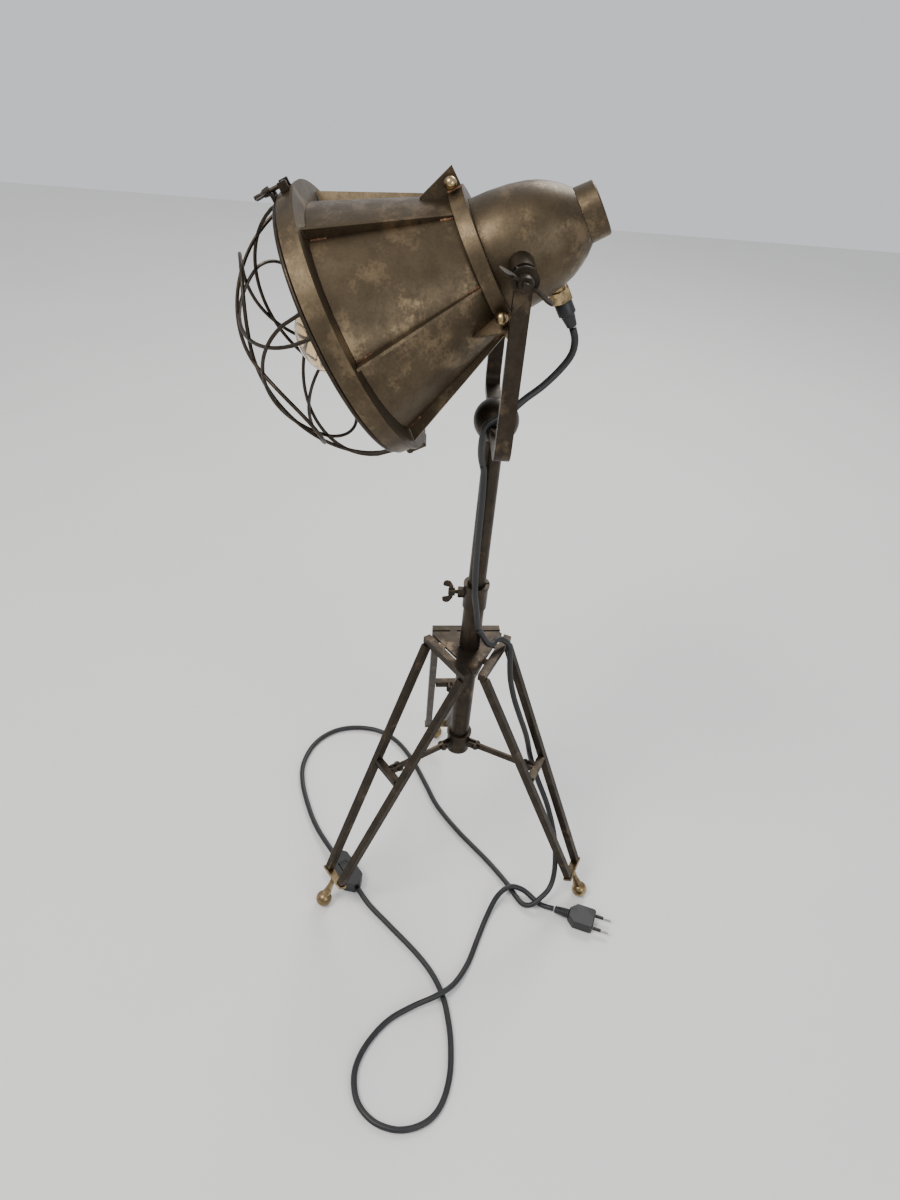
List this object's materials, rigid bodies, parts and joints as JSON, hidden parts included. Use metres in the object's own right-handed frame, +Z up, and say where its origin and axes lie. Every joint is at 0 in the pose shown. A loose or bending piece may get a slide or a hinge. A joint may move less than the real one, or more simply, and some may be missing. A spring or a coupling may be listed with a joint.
{
  "type": "tripod floor lamp",
  "caption": "Free-standing lamp on a low folding-style tripod: spotlight head in a yoke, round wire guard, telescoping mast and a mains lead with an inline switch.",
  "frame": {"origin": "centre of the lamp's bounding box without its lead, on the floor", "axes": "+Z up along the mast, the head points towards -Y and its tilt axis runs along +X"},
  "size_m": [0.5624, 0.433, 0.8221],
  "materials": {
    "aged_bronze": "aged antique-brass patina, brushed and mottled",
    "dark_bronze": "dark bronze patina, worn at the edges",
    "brass": "aged brass",
    "steel": "nickel-plated",
    "black_rubber": "matte, slightly worn",
    "black_plastic": "satin moulded",
    "amber_glass": "clear amber-tinted"
  },
  "bodies": {
    "stand": {"top_plate": "dark_bronze", "outer_tube": "dark_bronze", "clamp_collar": "dark_bronze", "hub_collar": "dark_bronze", "stay_1": "dark_bronze", "stay_2": "dark_bronze", "stay_3": "dark_bronze", "leg_1_left_tube": "dark_bronze", "leg_1_right_tube": "dark_bronze", "leg_1_cross_bar": "dark_bronze", "leg_1_foot": "brass", "leg_2_left_tube": "dark_bronze", "leg_2_right_tube": "dark_bronze", "leg_2_cross_bar": "dark_bronze", "leg_2_foot": "brass", "leg_3_left_tube": "dark_bronze", "leg_3_right_tube": "dark_bronze", "leg_3_cross_bar": "dark_bronze", "leg_3_foot": "brass", "cord_leg": "black_rubber", "cord_floor": "black_rubber", "cord_tail": "black_rubber", "switch_body": "black_plastic", "plug": "black_rubber", "plug_pin_left": "steel", "plug_pin_right": "steel"},
    "clamp_screw": {"clamp_screw": "dark_bronze"},
    "rocker": {"switch_rocker": "black_plastic"},
    "mast": {"inner_tube": "dark_bronze", "cord_mast": "black_rubber"},
    "yoke": {"yoke": "dark_bronze", "swivel_ball": "dark_bronze", "pivot_washer_left": "dark_bronze", "pivot_washer_right": "dark_bronze", "cord_swivel": "black_rubber", "cord_head": "black_rubber"},
    "head": {"front_ring": "aged_bronze", "shade": "aged_bronze", "rear_band": "aged_bronze", "dome_housing": "aged_bronze", "rear_cap": "aged_bronze", "ball_screw_1": "aged_bronze", "ball_screw_2": "aged_bronze", "ball_screw_3": "aged_bronze", "pivot_stud_left": "dark_bronze", "pivot_stud_right": "dark_bronze", "gland_nut": "brass", "gland_body": "black_rubber", "lampholder": "black_plastic", "lampholder_stem": "steel", "cage_hinge": "dark_bronze", "latch_clevis": "dark_bronze"},
    "bulb": {"bulb_glass": "amber_glass", "bulb_cap": "brass", "filament": "brass"},
    "guard": {"cage": "dark_bronze"},
    "latch": {"latch_bolt": "dark_bronze", "latch_nut": "dark_bronze"},
    "wing_nut_left": {"wing_nut_left": "dark_bronze"},
    "wing_nut_right": {"wing_nut_right": "dark_bronze"}
  },
  "joints": [
    {"name": "mast_height", "type": "slide", "parent": "stand", "child": "mast", "axis": [0, 0, 1], "range_m": [-0.13, 0.06], "deforming": ["cord_mast"]},
    {"name": "yoke_swivel", "type": "hinge", "parent": "mast", "child": "yoke", "pos_m": [0.03764, 0.02708, 0.59], "axis": [0, 0, 1], "range_deg": [-170, 170], "deforming": ["cord_swivel"]},
    {"name": "head_tilt", "type": "hinge", "parent": "yoke", "child": "head", "pos_m": [0.03764, 0.02708, 0.7646], "axis": [1, 0, 0], "range_deg": [-75, 10], "deforming": ["cord_head"]},
    {"name": "cage_hinge", "type": "hinge", "parent": "head", "child": "guard", "pos_m": [0.03764, -0.0508, 0.57845], "axis": [1, 0, 0], "range_deg": [0, 110]},
    {"name": "latch_swing", "type": "hinge", "parent": "head", "child": "latch", "pos_m": [0.03764, -0.16144, 0.79854], "axis": [1, 0, 0], "range_deg": [-100, 0]},
    {"name": "wing_nut_left_turn", "type": "hinge", "parent": "head", "child": "wing_nut_left", "pos_m": [0.03764, 0.02708, 0.7646], "axis": [1, 0, 0], "continuous": true},
    {"name": "wing_nut_right_turn", "type": "hinge", "parent": "head", "child": "wing_nut_right", "pos_m": [0.03764, 0.02708, 0.7646], "axis": [1, 0, 0], "continuous": true},
    {"name": "clamp_screw_turn", "type": "hinge", "parent": "stand", "child": "clamp_screw", "pos_m": [0.03764, 0.02708, 0.409], "axis": [0, -1, 0], "continuous": true},
    {"name": "rocker_tip", "type": "hinge", "parent": "stand", "child": "rocker", "pos_m": [0.10149, -0.10202, 0.0148], "axis": [-0.5637, 0.826, 0], "range_deg": [-14, 0]},
    {"name": "bulb_turn", "type": "hinge", "parent": "head", "child": "bulb", "pos_m": [0.03764, 0.02708, 0.7646], "axis": [0, -0.8729, -0.4879], "continuous": true}
  ]
}
